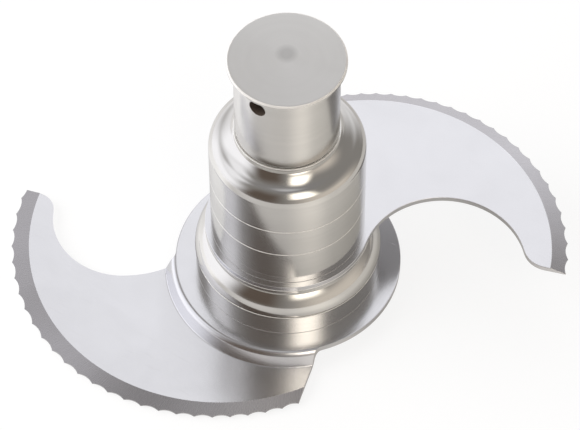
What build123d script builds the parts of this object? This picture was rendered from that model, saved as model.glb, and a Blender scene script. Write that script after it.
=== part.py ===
# Two-blade cutter for a table-top food processor: a dished lower blade and a flat upper blade,
# both scalloped sickles of sheet steel, clamped round a hollow hub by a screwed knob.
# Millimetres, +Z up. The origin is on the hub's axis, in the flat face that the cutter stands on.
import math
import os
from typing import NamedTuple

from build123d import *

# Heights of the clamped stack, from the bottom up
FLANGE_HEIGHT = 9.0
SHEET = 2.8
COLLAR_HEIGHT = 28.7
LOWER_RING_HEIGHT = 22.6
UPPER_RING_HEIGHT = 18.1
SHOULDER_WALL = 18.5
NECK_HEIGHT = 5.0
KNOB_HEIGHT = 50.1

# Blade carrier: flange, tube and head, in one piece
COLUMN_BORE_RADIUS = 26.0
TUBE_WALL = 5.0
TUBE_RISE = 17.0
SEAT_LEDGE = 2.0
FLANGE_MARGIN = 1.0
FLANGE_CHAMFER = 1.0
HEAD_THICKNESS = 10.0
MOUTH_CHAMFER = 1.0

# Clearances between the pieces
STACK_FIT = 0.05
PRESS_FIT = 0.02
THREAD_FIT = 0.05
CEILING_GAP = 1.0

# Clamp stud, pulled up against the underside of the head
STUD_RADIUS = 15.0
STUD_STEP = 1.0
STUD_FLANGE_CLEARANCE = 2.0
STUD_FLANGE_HEIGHT = 6.0
STUD_CHAMFER = 1.5
STUD_ENGAGEMENT = 30.5
NECK_BORE_CLEARANCE = 1.0

# Drive sleeve under the stud, and the two pins that lock it in the tube
SLEEVE_HEIGHT = 22.0
DRIVE_BORE_RADIUS = 10.0
DRIVE_SLOT_WIDTH = 8.0
DRIVE_SLOT_DEPTH = 8.0
DRIVE_SLOT_RUN = 8.0
PIN_RADIUS = 2.5
PIN_DEPTH = 6.0
PIN_RECESS = 0.6

# Two keys that stop the blades and the collar turning on the tube
KEY_WIDTH = 6.0
KEY_ENGAGEMENT = 17.7
KEY_SEAT = 2.0
KEY_RISE = 1.8
KEY_SIDE_FIT = 0.05
KEY_TOP_GAP = 0.3
KEY_CHAMFER = 0.4

# Seal rings in the flange and in the knob
SEAL_WIDTH = 3.0
SEAL_FIT = 0.03
FLANGE_SEAL_HEIGHT = 2.0
KNOB_SEAL_DEPTH = 1.8
KNOB_GAP = 0.3

# Lower collar: plain wall, groove, crowned shoulder that leans in, narrow land
COLLAR_STEP = 8.0
COLLAR_WALL = 12.9
COLLAR_GROOVE_HEIGHT = 1.3
COLLAR_GROOVE_DEPTH = 0.7
CROWN_PROUD = 0.2
CROWN_HEIGHT = 12.2
CROWN_TAPER = 4.6
CROWN_RADIUS = 25.8
LAND_STEP = 0.6
LAND_HEIGHT = 1.9
LAND_GROOVE = 0.35

# Rings and shoulder collar
RING_WALL = 6.0
JOINT_CHAMFER = 0.15
SHOULDER_ROUND = 8.0
COVE_RADIUS = 6.0
COVE_TURN = 45.0
NECK_LIP = 0.7
NECK_CHAMFER = 0.25

# Lock knob, with a hole across it for a tommy bar
KNOB_WALL = 9.5
KNOB_CHAMFER = 0.4
CAP_THICKNESS = 2.4
CAP_FILLET = 2.4
CAP_BRIM = 0.7
CAP_ROUND = 1.0
CAP_EDGE = 0.35
KNOB_BORE_RELIEF = 1.5
BAR_HOLE_RADIUS = 4.3
BAR_HOLE_DROP = 10.5
BAR_HOLE_CHAMFER = 0.35
BAR_HOLE_BEARING = 56.4

# Ground edge of both blades
EDGE_LAND = 0.3
SCALLOP_DEPTH = 1.15
RUNOUT_BEARING = 270.0

# Lower blade, drawn with its sickle towards -X
DISC_MARGIN = 10.1
DISH_OFFSET = 0.7
DISH_RUN = 3.4
DISH_DROP = 7.0
BEND_RADIUS = 0.8
LOWER_EDGE_X = -34.1
LOWER_EDGE_Y = 16.3
LOWER_EDGE_RADIUS = 102.8
LOWER_TIP_BEARING = 161.7
LOWER_TEETH_BEARING = 159.2
LOWER_TIP_PITCH = 5.6
LOWER_HEEL_PITCH = 4.63
LOWER_SCALLOPS = 26
LOWER_BEVEL = 6.8
LOWER_BEVEL_SHIFT = 2.0
LOWER_BAY_RADIUS = 36.1
LOWER_BAY_BITE = 5.0
LOWER_BAY_BEARING = 159.5
LOWER_BAY_RUNOUT = 52.0
LOWER_ROOT_FILLET = 4.0
LOWER_TIP_ROUND = 10.2
LOWER_TIP_TURN = 174.7
LOWER_HEEL_BEARING = 71.5
LOWER_HEEL_FILLET = 5.0

# Upper blade, drawn the same way and then turned half a turn
UPPER_EDGE_X = -41.2
UPPER_EDGE_Y = 14.4
UPPER_EDGE_RADIUS = 93.2
UPPER_TIP_BEARING = 169.4
UPPER_TEETH_BEARING = 169.0
UPPER_TIP_PITCH = 5.85
UPPER_HEEL_PITCH = 4.17
UPPER_SCALLOPS = 25
UPPER_BEVEL = 6.6
UPPER_BEVEL_SHIFT = 1.5
UPPER_BAY_RADIUS = 39.2
UPPER_BAY_BEARING = 160.3
UPPER_TIP_ROUND = 12.7
UPPER_TIP_TURN = 191.3
UPPER_HEEL_BEARING = 72.0
UPPER_HEEL_FILLET = 6.0

# Radii, worked out from the column's bore outwards and from the stud outwards
TUBE_RADIUS = COLUMN_BORE_RADIUS + TUBE_WALL
SEAT_RADIUS = COLUMN_BORE_RADIUS - SEAT_LEDGE
RING_RADIUS = TUBE_RADIUS + RING_WALL
COLLAR_RADIUS = RING_RADIUS + COLLAR_STEP
CROWN_FOOT_RADIUS = COLLAR_RADIUS + CROWN_PROUD
CROWN_TOP_RADIUS = CROWN_FOOT_RADIUS - CROWN_TAPER
LAND_RADIUS = CROWN_TOP_RADIUS - LAND_STEP
FLANGE_RADIUS = COLLAR_RADIUS + FLANGE_MARGIN
FLANGE_SEAL_RADIUS = (TUBE_RADIUS + FLANGE_RADIUS) / 2
DISC_RADIUS = COLLAR_RADIUS + DISC_MARGIN
DISH_RADIUS = DISC_RADIUS + DISH_OFFSET
STUD_SHANK_RADIUS = STUD_RADIUS + STUD_STEP
STUD_FLANGE_RADIUS = SEAT_RADIUS - STUD_FLANGE_CLEARANCE
DRIVE_SLOT_REACH = DRIVE_BORE_RADIUS + DRIVE_SLOT_RUN
NECK_BORE_RADIUS = STUD_RADIUS + NECK_BORE_CLEARANCE
KNOB_RADIUS = STUD_RADIUS + KNOB_WALL
NECK_RADIUS = KNOB_RADIUS + NECK_LIP
CAP_RADIUS = KNOB_RADIUS + CAP_FILLET + CAP_BRIM
KNOB_SEAL_RADIUS = (NECK_BORE_RADIUS + NECK_RADIUS) / 2

# Levels of the stack, worked out from the heights
COLLAR_LEVEL = FLANGE_HEIGHT + SHEET
UPPER_BLADE_LEVEL = COLLAR_LEVEL + COLLAR_HEIGHT
LOWER_RING_LEVEL = UPPER_BLADE_LEVEL + SHEET
KEY_TOP = LOWER_RING_LEVEL + KEY_ENGAGEMENT
UPPER_RING_LEVEL = LOWER_RING_LEVEL + LOWER_RING_HEIGHT
SHOULDER_LEVEL = UPPER_RING_LEVEL + UPPER_RING_HEIGHT
CEILING_LEVEL = SHOULDER_LEVEL + TUBE_RISE
HEAD_TOP = CEILING_LEVEL - CEILING_GAP
HEAD_UNDERSIDE = HEAD_TOP - HEAD_THICKNESS
SLEEVE_TOP = HEAD_UNDERSIDE - STUD_FLANGE_HEIGHT
SLEEVE_MOUTH = SLEEVE_TOP - SLEEVE_HEIGHT
PIN_LEVEL = SLEEVE_MOUTH + (SLEEVE_HEIGHT + DRIVE_SLOT_DEPTH) / 2
SHOULDER_EDGE = SHOULDER_LEVEL + SHOULDER_WALL
NECK_LEVEL = SHOULDER_EDGE + SHOULDER_ROUND + COVE_RADIUS * (1 - math.cos(math.radians(COVE_TURN)))
NECK_TOP = NECK_LEVEL + NECK_HEIGHT
KNOB_LEVEL = NECK_TOP + KNOB_GAP
KNOB_TOP = KNOB_LEVEL + KNOB_HEIGHT
STUD_TOP = KNOB_LEVEL + STUD_ENGAGEMENT
BAR_HOLE_LEVEL = KNOB_TOP - BAR_HOLE_DROP


class Sickle(NamedTuple):
    """Plan of one blade: hub circle, toothed edge, open bay behind the edge, rounded tip, heel."""

    hub_radius: float
    edge_centre: Vector
    edge_radius: float
    tip_bearing: float
    teeth_bearing: float
    tip_pitch: float
    heel_pitch: float
    scallops: int
    bevel: float
    bevel_shift: float
    bay_radius: float
    bay_centre: Vector
    bay_runout: float
    root_fillet: float
    tip_round: float
    tip_turn: float
    heel_bearing: float
    heel_fillet: float


def polar(radius, bearing):
    """Vector in the plan, from its length and its angle from +X."""
    return Vector(radius * math.cos(math.radians(bearing)), radius * math.sin(math.radians(bearing)))


def bearing_of(vector):
    """Angle of a vector in the plan from +X, in degrees."""
    return math.degrees(math.atan2(vector.Y, vector.X))


def left_arc(centre, radius, start, end):
    """Arc turning left from one bearing to another."""
    return CenterArc(centre, radius, start, (end - start) % 360)


def right_arc(centre, radius, start, end):
    """Arc turning right from one bearing to another."""
    return CenterArc(centre, radius, start, -((start - end) % 360))


def turned(*points):
    """Solid of revolution about the hub's axis from a closed profile of (radius, height) points."""
    return revolve(make_face(Plane.XZ * Polyline(*points, close=True)), Axis.Z)


def tube(outer, inner, low, high):
    """Plain ring between two levels."""
    return turned((inner, low), (outer, low), (outer, high), (inner, high))


def opposite(shape):
    """The shape and its twin half a turn round the axis."""
    return [shape, Rot(0, 0, 180) * shape]


LOWER_SICKLE = Sickle(
    hub_radius=DISC_RADIUS,
    edge_centre=Vector(LOWER_EDGE_X, LOWER_EDGE_Y),
    edge_radius=LOWER_EDGE_RADIUS,
    tip_bearing=LOWER_TIP_BEARING,
    teeth_bearing=LOWER_TEETH_BEARING,
    tip_pitch=LOWER_TIP_PITCH,
    heel_pitch=LOWER_HEEL_PITCH,
    scallops=LOWER_SCALLOPS,
    bevel=LOWER_BEVEL,
    bevel_shift=LOWER_BEVEL_SHIFT,
    bay_radius=LOWER_BAY_RADIUS,
    bay_centre=polar(DISC_RADIUS + LOWER_BAY_RADIUS - LOWER_BAY_BITE, LOWER_BAY_BEARING),
    bay_runout=LOWER_BAY_RUNOUT,
    root_fillet=LOWER_ROOT_FILLET,
    tip_round=LOWER_TIP_ROUND,
    tip_turn=LOWER_TIP_TURN,
    heel_bearing=LOWER_HEEL_BEARING,
    heel_fillet=LOWER_HEEL_FILLET,
)
UPPER_SICKLE = Sickle(
    hub_radius=LAND_RADIUS,
    edge_centre=Vector(UPPER_EDGE_X, UPPER_EDGE_Y),
    edge_radius=UPPER_EDGE_RADIUS,
    tip_bearing=UPPER_TIP_BEARING,
    teeth_bearing=UPPER_TEETH_BEARING,
    tip_pitch=UPPER_TIP_PITCH,
    heel_pitch=UPPER_HEEL_PITCH,
    scallops=UPPER_SCALLOPS,
    bevel=UPPER_BEVEL,
    bevel_shift=UPPER_BEVEL_SHIFT,
    bay_radius=UPPER_BAY_RADIUS,
    bay_centre=polar(LAND_RADIUS + UPPER_BAY_RADIUS, UPPER_BAY_BEARING),
    bay_runout=UPPER_BAY_RADIUS,
    root_fillet=0.0,
    tip_round=UPPER_TIP_ROUND,
    tip_turn=UPPER_TIP_TURN,
    heel_bearing=UPPER_HEEL_BEARING,
    heel_fillet=UPPER_HEEL_FILLET,
)


def tooth_bearings(sickle):
    """Bearings of the tooth tips from the edge's centre; the pitch shrinks evenly to the heel."""
    step = (sickle.heel_pitch - sickle.tip_pitch) / (sickle.scallops - 1)
    bearings = [sickle.teeth_bearing]
    for index in range(sickle.scallops):
        bearings.append(bearings[-1] + sickle.tip_pitch + index * step)
    return bearings


def bay_root(sickle, centre):
    """Point where the bay's run-out meets the hub's circle, beside the sickle."""
    distance = centre.length
    along = (sickle.hub_radius**2 - sickle.bay_runout**2 + distance**2) / (2 * distance)
    across = math.sqrt(max(sickle.hub_radius**2 - along**2, 0.0))
    toward = centre.normalized()
    return toward * along + Vector(-toward.Y, toward.X) * across


def heel_root(sickle, heel):
    """Point where the straight heel reaches the hub's circle."""
    toward = polar(1, sickle.heel_bearing)
    lean = heel.dot(toward)
    return heel + toward * (-lean - math.sqrt(lean**2 - heel.dot(heel) + sickle.hub_radius**2))


def blade_plan(sickle):
    """Outline of a blade without its scallops: toothed arc, heel, hub, bay, round and end."""
    tip = sickle.edge_centre + polar(sickle.edge_radius, sickle.tip_bearing)
    heel_bearing = tooth_bearings(sickle)[-1]
    heel = sickle.edge_centre + polar(sickle.edge_radius, heel_bearing)
    hub_start = heel_root(sickle, heel)
    runout_centre = sickle.bay_centre + polar(sickle.bay_radius - sickle.bay_runout, RUNOUT_BEARING)
    hub_end = bay_root(sickle, runout_centre)
    runout_start = bearing_of(hub_end - runout_centre)
    round_centre = sickle.bay_centre + polar(sickle.bay_radius + sickle.tip_round, sickle.tip_turn)
    to_tip = tip - round_centre
    round_end = bearing_of(to_tip) - math.degrees(math.acos(sickle.tip_round / to_tip.length))
    outline = [
        left_arc(sickle.edge_centre, sickle.edge_radius, sickle.tip_bearing, heel_bearing),
        Line(heel, hub_start),
        left_arc((0, 0), sickle.hub_radius, bearing_of(hub_start), bearing_of(hub_end)),
        right_arc(runout_centre, sickle.bay_runout, runout_start, RUNOUT_BEARING),
        right_arc(sickle.bay_centre, sickle.bay_radius, RUNOUT_BEARING, sickle.tip_turn),
        left_arc(round_centre, sickle.tip_round, sickle.tip_turn - 180, round_end),
        Line(round_centre + polar(sickle.tip_round, round_end), tip),
    ]
    plan = make_face(Wire(outline))
    plan = fillet(plan.vertices().sort_by_distance(hub_start)[0], sickle.heel_fillet)
    if sickle.root_fillet:
        plan = fillet(plan.vertices().sort_by_distance(hub_end)[0], sickle.root_fillet)
    return plan


def scallops(sickle):
    """Circles that bite between each two tooth tips."""
    bearings = tooth_bearings(sickle)
    circles = []
    for start, end in zip(bearings, bearings[1:]):
        half = math.radians((end - start) / 2)
        half_chord = sickle.edge_radius * math.sin(half)
        radius = (half_chord**2 + SCALLOP_DEPTH**2) / (2 * SCALLOP_DEPTH)
        distance = sickle.edge_radius * math.cos(half) - SCALLOP_DEPTH + radius
        circles.append(Pos(sickle.edge_centre + polar(distance, (start + end) / 2)) * Circle(radius))
    return circles


def bevel_cutter(sickle, low):
    """What grinding takes off the top of the edge: a disc less the leaning cone that stays."""
    foot = Plane(sickle.edge_centre + Vector(0, 0, low + EDGE_LAND)) * Circle(sickle.edge_radius)
    shoulder_centre = sickle.edge_centre + Vector(sickle.bevel_shift, 0, low + SHEET)
    shoulder = Plane(shoulder_centre) * Circle(sickle.edge_radius - sickle.bevel)
    kept = loft([foot, shoulder], ruled=True)
    blank = Plane(foot.center()) * Circle(sickle.edge_radius + SHEET)
    return extrude(blank, SHEET - EDGE_LAND) - kept


def keyways(low, high):
    """Grooves in a bore that clear the two keys."""
    depth = TUBE_RADIUS + KEY_RISE + KEY_TOP_GAP
    groove = Pos(depth / 2, 0, (low + high) / 2) * Box(depth, KEY_WIDTH + 2 * KEY_SIDE_FIT, high - low)
    return opposite(groove)


def hub_bore(low, high):
    """Bore that slides over the tube and its keys."""
    return [tube(TUBE_RADIUS + STACK_FIT, 0, low, high), *keyways(low, high)]


def dished_sheet():
    """Sheet turned about the axis: flat hub disc, steep bend, flat rim at the lower level."""
    slope = math.atan2(DISH_DROP, DISH_RUN)
    miter = SHEET / 2 * math.tan(slope / 2)
    rim = LOWER_SICKLE.edge_centre.length + LOWER_EDGE_RADIUS + SHEET
    top = COLLAR_LEVEL
    upper_side = FilletPolyline(
        (0, top),
        (DISH_RADIUS + miter, top),
        (DISH_RADIUS + DISH_RUN + miter, top - DISH_DROP),
        (rim, top - DISH_DROP),
        radius=[BEND_RADIUS + SHEET, BEND_RADIUS],
    )
    lower_side = FilletPolyline(
        (rim, top - SHEET - DISH_DROP),
        (DISH_RADIUS + DISH_RUN - miter, top - SHEET - DISH_DROP),
        (DISH_RADIUS - miter, top - SHEET),
        (0, top - SHEET),
        radius=[BEND_RADIUS + SHEET, BEND_RADIUS],
    )
    closing = [Line(upper_side @ 1, lower_side @ 0), Line(lower_side @ 1, upper_side @ 0)]
    section = Wire([*upper_side.edges(), closing[0], *lower_side.edges(), closing[1]])
    return revolve(Plane.XZ * make_face(section), Axis.Z)


def lower_blade():
    """Dished blade: the sickle lies one joggle below the hub disc, almost on the bowl's floor."""
    low = FLANGE_HEIGHT - DISH_DROP
    plan = blade_plan(LOWER_SICKLE) - scallops(LOWER_SICKLE)
    blank = extrude(Pos(0, 0, low - SHEET) * plan, DISH_DROP + 3 * SHEET)
    blade = (blank & dished_sheet()) - bevel_cutter(LOWER_SICKLE, low)
    return blade - hub_bore(low, COLLAR_LEVEL + SHEET)


def upper_blade():
    """Flat blade, half a turn round from the lower one."""
    low = UPPER_BLADE_LEVEL
    plan = blade_plan(UPPER_SICKLE) - scallops(UPPER_SICKLE)
    blade = extrude(Pos(0, 0, low) * plan, SHEET) - bevel_cutter(UPPER_SICKLE, low)
    return Rot(0, 0, 180) * (blade - hub_bore(low - SHEET, low + 2 * SHEET))


def radial_rods(radius, reach):
    """Two rods through the tube's wall, from the pins' depth in the sleeve outwards."""
    inner = SEAT_RADIUS - PIN_DEPTH
    shank = Plane((0, -inner, PIN_LEVEL), z_dir=(0, -1, 0)) * Circle(radius)
    return opposite(extrude(shank, reach - inner))


def sleeve_pins():
    """Front and rear pins that lock the sleeve, a little short of the tube's surface."""
    return radial_rods(PIN_RADIUS, TUBE_RADIUS - PIN_RECESS)


def pin_holes():
    """Holes for the pins, drilled from outside the tube."""
    return radial_rods(PIN_RADIUS + PRESS_FIT, TUBE_RADIUS + PIN_RECESS)


def key_blank():
    """Bar of the key's size on the +X side, sunk in the tube's wall."""
    depth = KEY_SEAT + KEY_RISE
    middle = (TUBE_RADIUS - KEY_SEAT + depth / 2, 0, (FLANGE_HEIGHT + KEY_TOP) / 2)
    return Pos(middle) * Box(depth, KEY_WIDTH, KEY_TOP - FLANGE_HEIGHT)


def keys():
    """Two square-ended keys with their outer edges broken."""
    key = key_blank()
    outer_edges = key.faces().sort_by(Axis.X)[-1].edges().filter_by(Axis.Z)
    return opposite(chamfer(outer_edges, KEY_CHAMFER))


def key_seats():
    """Flat-bottomed grooves in the tube for the keys."""
    return opposite(key_blank())


def seal_groove(radius, low, high):
    """Ring of the seal's width round a middle radius."""
    return tube(radius + SEAL_WIDTH / 2, radius - SEAL_WIDTH / 2, low, high)


def seal(radius, low, high):
    """Flat seal ring that lies in such a groove."""
    half_width = SEAL_WIDTH / 2 - SEAL_FIT
    return tube(radius + half_width, radius - half_width, low, high)


def blade_carrier():
    """Hollow hub that all is threaded on: wide flange, keyed tube with a stepped bore, head."""
    body = turned(
        (COLUMN_BORE_RADIUS + MOUTH_CHAMFER, 0),
        (FLANGE_RADIUS - FLANGE_CHAMFER, 0),
        (FLANGE_RADIUS, FLANGE_CHAMFER),
        (FLANGE_RADIUS, FLANGE_HEIGHT),
        (TUBE_RADIUS, FLANGE_HEIGHT),
        (TUBE_RADIUS, HEAD_TOP - MOUTH_CHAMFER),
        (TUBE_RADIUS - MOUTH_CHAMFER, HEAD_TOP),
        (STUD_SHANK_RADIUS + PRESS_FIT, HEAD_TOP),
        (STUD_SHANK_RADIUS + PRESS_FIT, HEAD_UNDERSIDE),
        (SEAT_RADIUS, HEAD_UNDERSIDE),
        (SEAT_RADIUS, SLEEVE_MOUTH),
        (COLUMN_BORE_RADIUS, SLEEVE_MOUTH),
        (COLUMN_BORE_RADIUS, MOUTH_CHAMFER),
    )
    groove = seal_groove(FLANGE_SEAL_RADIUS, FLANGE_HEIGHT - FLANGE_SEAL_HEIGHT, FLANGE_HEIGHT)
    return body - groove - key_seats() - pin_holes()


def clamp_stud():
    """Stud that the knob screws on, with its flange under the head."""
    return turned(
        (0, SLEEVE_TOP),
        (STUD_FLANGE_RADIUS, SLEEVE_TOP),
        (STUD_FLANGE_RADIUS, HEAD_UNDERSIDE),
        (STUD_SHANK_RADIUS, HEAD_UNDERSIDE),
        (STUD_SHANK_RADIUS, HEAD_TOP),
        (STUD_RADIUS, HEAD_TOP),
        (STUD_RADIUS, STUD_TOP - STUD_CHAMFER),
        (STUD_RADIUS - STUD_CHAMFER, STUD_TOP),
        (0, STUD_TOP),
    )


def drive_sleeve():
    """Hard sleeve for the motor shaft, slotted at its mouth for the shaft's cross pin."""
    body = tube(SEAT_RADIUS - PRESS_FIT, DRIVE_BORE_RADIUS, SLEEVE_MOUTH, SLEEVE_TOP)
    slot_middle = (0, 0, SLEEVE_MOUTH + DRIVE_SLOT_DEPTH / 2)
    slot = Pos(slot_middle) * Box(2 * DRIVE_SLOT_REACH, DRIVE_SLOT_WIDTH, DRIVE_SLOT_DEPTH)
    return body - slot - pin_holes()


def lower_collar():
    """Wide collar between the blades: wall, groove and crowned shoulder under a narrow land."""
    bore = TUBE_RADIUS + STACK_FIT
    wall_top = COLLAR_LEVEL + COLLAR_WALL
    crown_low = wall_top + COLLAR_GROOVE_HEIGHT
    crown_high = crown_low + CROWN_HEIGHT
    land_low = UPPER_BLADE_LEVEL - LAND_HEIGHT
    foot = Polyline(
        (bore, COLLAR_LEVEL),
        (COLLAR_RADIUS - JOINT_CHAMFER, COLLAR_LEVEL),
        (COLLAR_RADIUS, COLLAR_LEVEL + JOINT_CHAMFER),
        (COLLAR_RADIUS, wall_top),
        (COLLAR_RADIUS - COLLAR_GROOVE_DEPTH, wall_top),
        (COLLAR_RADIUS - COLLAR_GROOVE_DEPTH, crown_low),
        (CROWN_FOOT_RADIUS, crown_low),
    )
    crown = RadiusArc((CROWN_FOOT_RADIUS, crown_low), (CROWN_TOP_RADIUS, crown_high), -CROWN_RADIUS)
    top = Polyline(
        (CROWN_TOP_RADIUS, crown_high),
        (LAND_RADIUS - LAND_GROOVE, crown_high),
        (LAND_RADIUS - LAND_GROOVE, land_low),
        (LAND_RADIUS, land_low),
        (LAND_RADIUS, UPPER_BLADE_LEVEL - JOINT_CHAMFER),
        (LAND_RADIUS - JOINT_CHAMFER, UPPER_BLADE_LEVEL),
        (bore, UPPER_BLADE_LEVEL),
        (bore, COLLAR_LEVEL),
    )
    section = Wire([*foot.edges(), crown, *top.edges()])
    body = revolve(Plane.XZ * make_face(section), Axis.Z)
    return body - keyways(COLLAR_LEVEL, UPPER_BLADE_LEVEL)


def spacer_ring(low, high):
    """Plain turned ring with broken edges at its joints."""
    bore = TUBE_RADIUS + STACK_FIT
    return turned(
        (bore, low),
        (RING_RADIUS - JOINT_CHAMFER, low),
        (RING_RADIUS, low + JOINT_CHAMFER),
        (RING_RADIUS, high - JOINT_CHAMFER),
        (RING_RADIUS - JOINT_CHAMFER, high),
        (bore, high),
    )


def lower_spacer_ring():
    """Ring on the upper blade, grooved for the top ends of the keys."""
    return spacer_ring(LOWER_RING_LEVEL, UPPER_RING_LEVEL) - keyways(LOWER_RING_LEVEL, UPPER_RING_LEVEL)


def upper_spacer_ring():
    """Ring under the shoulder collar."""
    return spacer_ring(UPPER_RING_LEVEL, SHOULDER_LEVEL)


def shoulder_collar():
    """Cap over the tube's head: wall, round shoulder, cove and the neck that the knob bears on."""
    bore = TUBE_RADIUS + STACK_FIT
    wall = Polyline(
        (NECK_BORE_RADIUS, CEILING_LEVEL),
        (bore, CEILING_LEVEL),
        (bore, SHOULDER_LEVEL),
        (RING_RADIUS - JOINT_CHAMFER, SHOULDER_LEVEL),
        (RING_RADIUS, SHOULDER_LEVEL + JOINT_CHAMFER),
        (RING_RADIUS, SHOULDER_EDGE),
    )
    shoulder = CenterArc((RING_RADIUS - SHOULDER_ROUND, SHOULDER_EDGE), SHOULDER_ROUND, 0, 90)
    cove_centre = (RING_RADIUS - SHOULDER_ROUND, SHOULDER_EDGE + SHOULDER_ROUND + COVE_RADIUS)
    cove = CenterArc(cove_centre, COVE_RADIUS, 270, -COVE_TURN)
    neck = Polyline(
        cove @ 1,
        (NECK_RADIUS, NECK_LEVEL),
        (NECK_RADIUS, NECK_TOP - NECK_CHAMFER),
        (NECK_RADIUS - NECK_CHAMFER, NECK_TOP),
        (NECK_BORE_RADIUS, NECK_TOP),
        (NECK_BORE_RADIUS, CEILING_LEVEL),
    )
    section = Wire([*wall.edges(), shoulder, cove, *neck.edges()])
    return revolve(Plane.XZ * make_face(section), Axis.Z)


def lock_knob():
    """Knob that clamps the stack: plain grip, filleted cap, blind bore and tommy-bar hole."""
    bore = STUD_RADIUS + THREAD_FIT
    roof = STUD_TOP + KNOB_BORE_RELIEF
    rim_low = KNOB_TOP - CAP_THICKNESS
    fillet_start = KNOB_RADIUS + CAP_FILLET
    grip = Polyline(
        (0, roof),
        (bore, roof),
        (bore, KNOB_LEVEL + MOUTH_CHAMFER),
        (bore + MOUTH_CHAMFER, KNOB_LEVEL),
        (KNOB_RADIUS - KNOB_CHAMFER, KNOB_LEVEL),
        (KNOB_RADIUS, KNOB_LEVEL + KNOB_CHAMFER),
        (KNOB_RADIUS, rim_low - CAP_FILLET),
    )
    cove = CenterArc((fillet_start, rim_low - CAP_FILLET), CAP_FILLET, 180, -90)
    rim = FilletPolyline(
        (fillet_start, rim_low),
        (CAP_RADIUS, rim_low),
        (CAP_RADIUS, KNOB_TOP),
        (0, KNOB_TOP),
        (0, roof),
        radius=[CAP_EDGE, CAP_ROUND, 0],
    )
    body = revolve(Plane.XZ * make_face(Wire([*grip.edges(), cove, *rim.edges()])), Axis.Z)
    along = polar(1, BAR_HOLE_BEARING)
    start = along * -CAP_RADIUS + Vector(0, 0, BAR_HOLE_LEVEL)
    hole = extrude(Plane(start, z_dir=along) * Circle(BAR_HOLE_RADIUS), 2 * CAP_RADIUS)
    groove = seal_groove(KNOB_SEAL_RADIUS, KNOB_LEVEL, KNOB_LEVEL + KNOB_SEAL_DEPTH)
    knob = body - groove - hole
    hole_rims = knob.edges().filter_by(GeomType.BSPLINE)
    return chamfer(hole_rims, BAR_HOLE_CHAMFER)


def main():
    """Build every piece where it sits in the assembled cutter and write one file for each."""
    left_key, right_key = reversed(keys())
    front_pin, rear_pin = sleeve_pins()
    flange_seal_low = FLANGE_HEIGHT - FLANGE_SEAL_HEIGHT
    pieces = {
        "blade_carrier": blade_carrier(),
        "clamp_stud": clamp_stud(),
        "drive_sleeve": drive_sleeve(),
        "front_sleeve_pin": front_pin,
        "rear_sleeve_pin": rear_pin,
        "left_key": left_key,
        "right_key": right_key,
        "flange_seal": seal(FLANGE_SEAL_RADIUS, flange_seal_low, FLANGE_HEIGHT),
        "lower_blade": lower_blade(),
        "lower_collar": lower_collar(),
        "upper_blade": upper_blade(),
        "lower_spacer_ring": lower_spacer_ring(),
        "upper_spacer_ring": upper_spacer_ring(),
        "shoulder_collar": shoulder_collar(),
        "knob_seal": seal(KNOB_SEAL_RADIUS, NECK_TOP, KNOB_LEVEL + KNOB_SEAL_DEPTH),
        "lock_knob": lock_knob(),
    }
    os.makedirs("parts", exist_ok=True)
    for name, piece in pieces.items():
        export_step(piece, f"parts/{name}.step")


main()
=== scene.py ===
"""Looks of a food processor's two-blade cutter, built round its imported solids."""
import math

import bmesh
import bpy
from mathutils import Matrix, Vector


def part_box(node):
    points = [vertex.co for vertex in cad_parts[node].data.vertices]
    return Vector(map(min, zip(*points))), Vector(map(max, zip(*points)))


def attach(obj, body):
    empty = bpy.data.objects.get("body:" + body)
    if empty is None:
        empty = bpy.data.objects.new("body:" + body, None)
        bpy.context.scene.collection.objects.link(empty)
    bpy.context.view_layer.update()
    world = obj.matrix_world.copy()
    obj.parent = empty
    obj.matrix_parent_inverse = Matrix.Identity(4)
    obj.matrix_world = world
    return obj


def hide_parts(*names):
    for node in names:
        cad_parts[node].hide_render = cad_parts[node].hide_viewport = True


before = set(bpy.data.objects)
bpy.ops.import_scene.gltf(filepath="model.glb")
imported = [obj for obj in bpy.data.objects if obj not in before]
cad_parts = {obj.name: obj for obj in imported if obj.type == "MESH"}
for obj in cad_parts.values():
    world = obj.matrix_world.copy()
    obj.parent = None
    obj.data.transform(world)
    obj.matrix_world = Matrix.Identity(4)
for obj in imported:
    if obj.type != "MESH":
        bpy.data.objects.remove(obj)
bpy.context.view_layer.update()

bl_info = {
    "name": "Food Processor Cutter",
    "version": (1, 0, 0),
    "blender": (4, 5, 0),
    "location": "View3D > Sidebar > Cutter",
    "description": "Sickle blades, collars, rings and lock knob of a bowl cutter, with its stage",
    "category": "Object",
}

BODY = "root"

# Facets of the turned pieces
AXIS_STEPS = 256
ROUND_STEPS = 5
FILLET_STEPS = 12
HOLE_STEPS = 64
BREAK_STEPS = 2
CROWN_STEPS = (16, 8)
SHOULDER_STEPS = (20, 10, 14)

# Slopes of the outward normal, in degrees, where the arcs of the crown and the shoulder meet
CROWN_SLOPES = (4, 40, 52)
SHOULDER_SLOPES = (0, 50, 70, 41)

# Corner of the shoulder's round where its polish starts, and shares of the knob's sizes
POLISH_CORNER = 16
DOME_SHARES = (0.93, 0.8, 0.65, 0.5, 0.35, 0.2, 0.08)
BAND_SHARES = (-1.6, -1.3, -1.0, -0.5, 0.0, 0.5, 1.0, 1.25)
INSIDE_SHARE = 0.9
BAR_SHARE = 2.6

# Angles and upward parts of normals that tell edges and faces apart
SHARP_ANGLE = math.radians(32)
CORNER_ANGLE = math.radians(50)
JOIN_ANGLE = math.radians(0.4)
SIDE_WALL_TILT = 0.15
STEP_TILT = 0.3
GROUND_TILT = 0.5
CAP_TILT = 0.98
FLAT_TILT = 0.9995
FACE_WEIGHT = 60

# Metres: points that are joined, the rim of the cross hole, the radius where the arms start
JOIN_REACH = 0.000002
RIM_REACH = 0.0001
ARM_START = 0.066

# Pressed step of the dished blade: radii of its start and end, sine of its slope, its two bends
STEP_START = 0.0544
STEP_END = 0.0606
STEP_LEAN = 0.8996
INNER_BEND = 0.0008
OUTER_BEND = 0.0036

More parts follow.
